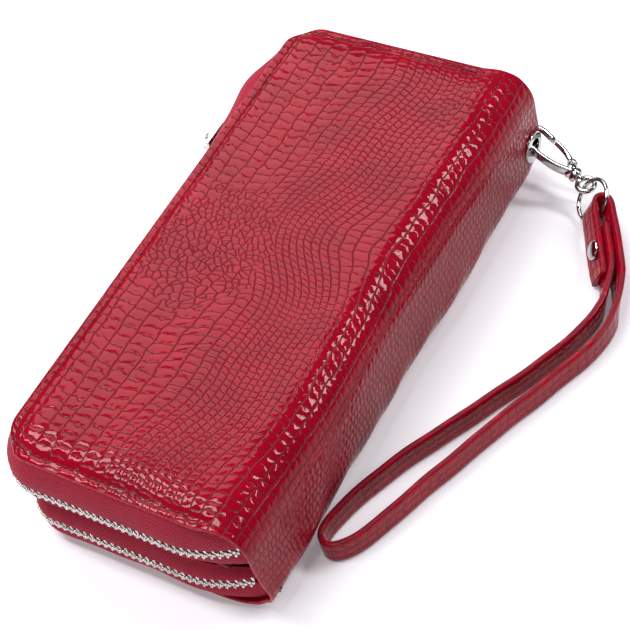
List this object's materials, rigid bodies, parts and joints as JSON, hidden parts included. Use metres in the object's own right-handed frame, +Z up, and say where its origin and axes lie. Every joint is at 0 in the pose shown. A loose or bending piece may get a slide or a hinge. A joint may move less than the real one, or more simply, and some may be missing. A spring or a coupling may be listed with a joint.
{
  "type": "long wallet",
  "caption": "Long wallet with two zipped compartments, a rolled leather spine with an eyelet, and a folded leather wrist strap on a swivel snap hook.",
  "frame": {"origin": "centre of the underside that the wallet lies on", "axes": "+Y along the wallet towards the strap's end, +X towards the rolled spine, +Z up"},
  "size_m": [0.1522, 0.2003, 0.048],
  "materials": {
    "croc_leather": "patent leather with an embossed reptile scale pattern, deep crimson",
    "strap_croc_leather": "patent leather strip with an embossed scale pattern and painted raw edges",
    "zip_tape": "woven herringbone tape",
    "zip_teeth": "bright nickel-plated metal",
    "zip_metal": "polished nickel plating",
    "board": "stiffening board",
    "padding": "thin foam-backed felt",
    "lining_fabric": "plain woven lining",
    "pocket_leather": "thin smooth leather",
    "hardware": "polished nickel plating"
  },
  "bodies": {
    "lower_half": {"lower_panel_leather": "croc_leather", "lower_roll_leather": "croc_leather", "lower_board": "board", "lower_padding": "padding", "lower_lining": "lining_fabric", "lower_slip_pocket": "pocket_leather", "lower_gusset": "lining_fabric", "lower_zip_bottom_tape": "zip_tape", "lower_zip_bottom_teeth": "zip_teeth", "eyelet_barrel": "hardware", "eyelet_washer": "hardware"},
    "middle": {"divider_lining_bottom": "lining_fabric", "divider_board": "board", "divider_lining_top": "lining_fabric", "spine_band_leather": "croc_leather", "upper_gusset": "lining_fabric", "card_pocket_near_1": "pocket_leather", "card_pocket_near_2": "pocket_leather", "card_pocket_near_3": "pocket_leather", "card_pocket_far_1": "pocket_leather", "card_pocket_far_2": "pocket_leather", "card_pocket_far_3": "pocket_leather", "lower_zip_top_tape": "zip_tape", "lower_zip_top_teeth": "zip_teeth", "upper_zip_bottom_tape": "zip_tape", "upper_zip_bottom_teeth": "zip_teeth"},
    "upper_cover": {"upper_panel_leather": "croc_leather", "upper_roll_leather": "croc_leather", "upper_board": "board", "upper_padding": "padding", "upper_lining": "lining_fabric", "upper_slip_pocket": "pocket_leather", "upper_zip_top_tape": "zip_tape", "upper_zip_top_teeth": "zip_teeth"},
    "upper_slider": {"upper_slider_body": "zip_metal"},
    "upper_pull": {"upper_pull_tab": "zip_metal"},
    "lower_slider": {"lower_slider_body": "zip_metal"},
    "lower_pull": {"lower_pull_tab": "zip_metal"},
    "hook": {"hook_frame": "hardware", "gate_pin": "hardware"},
    "gate": {"hook_gate": "hardware"},
    "swivel": {"swivel_eye": "hardware"},
    "ring": {"strap_ring": "hardware"},
    "strap": {"strap_leather": "strap_croc_leather", "strap_rivet_post": "hardware", "strap_rivet_caps": "hardware"}
  },
  "joints": [
    {"name": "lower_compartment_opening", "type": "hinge", "parent": "lower_half", "child": "middle", "pos_m": [0.046, 0, 0.025], "axis": [0, 1, 0], "range_deg": [0, 50]},
    {"name": "upper_compartment_opening", "type": "hinge", "parent": "middle", "child": "upper_cover", "pos_m": [0.046, 0, 0.033], "axis": [0, 1, 0], "range_deg": [0, 75]},
    {"name": "upper_slider_slide", "type": "slide", "parent": "middle", "child": "upper_slider", "axis": [0, 1, 0], "range_m": [-0.125, 0.028]},
    {"name": "upper_pull_swing", "type": "hinge", "parent": "upper_slider", "child": "upper_pull", "pos_m": [-0.0532, 0.05, 0.029], "axis": [0, 1, 0], "range_deg": [0, 150]},
    {"name": "lower_slider_slide", "type": "slide", "parent": "lower_half", "child": "lower_slider", "axis": [0, 1, 0], "range_m": [-0.1, 0.025]},
    {"name": "lower_pull_swing", "type": "hinge", "parent": "lower_slider", "child": "lower_pull", "pos_m": [-0.05, 0.035, 0.0105], "axis": [0, 0, -1], "range_deg": [0, 150]},
    {"name": "hook_swing", "type": "hinge", "parent": "lower_half", "child": "hook", "pos_m": [0.0452, 0.0908, 0.0185], "axis": [0, -1, 0], "range_deg": [0, 20]},
    {"name": "gate_swing", "type": "hinge", "parent": "hook", "child": "gate", "pos_m": [0.05992, 0.09552, 0.01132], "axis": [0.4384, 0, 0.8988], "range_deg": [0, 25], "stiffness_Nm_per_rad": 0.01, "springref_deg": -22.92},
    {"name": "swivel_turn", "type": "hinge", "parent": "hook", "child": "swivel", "pos_m": [0.06098, 0.09065, 0.0108], "axis": [-0.8682, 0.2588, 0.4234], "range_deg": [0, 180]},
    {"name": "ring_swing", "type": "hinge", "parent": "swivel", "child": "ring", "pos_m": [0.06584, 0.0892, 0.00843], "axis": [0, 0, 1], "range_deg": [0, 30]},
    {"name": "strap_swing", "type": "hinge", "parent": "ring", "child": "strap", "pos_m": [0.07561, 0.07835, 0.0082], "axis": [0, 0, 1], "range_deg": [0, 40]}
  ]
}
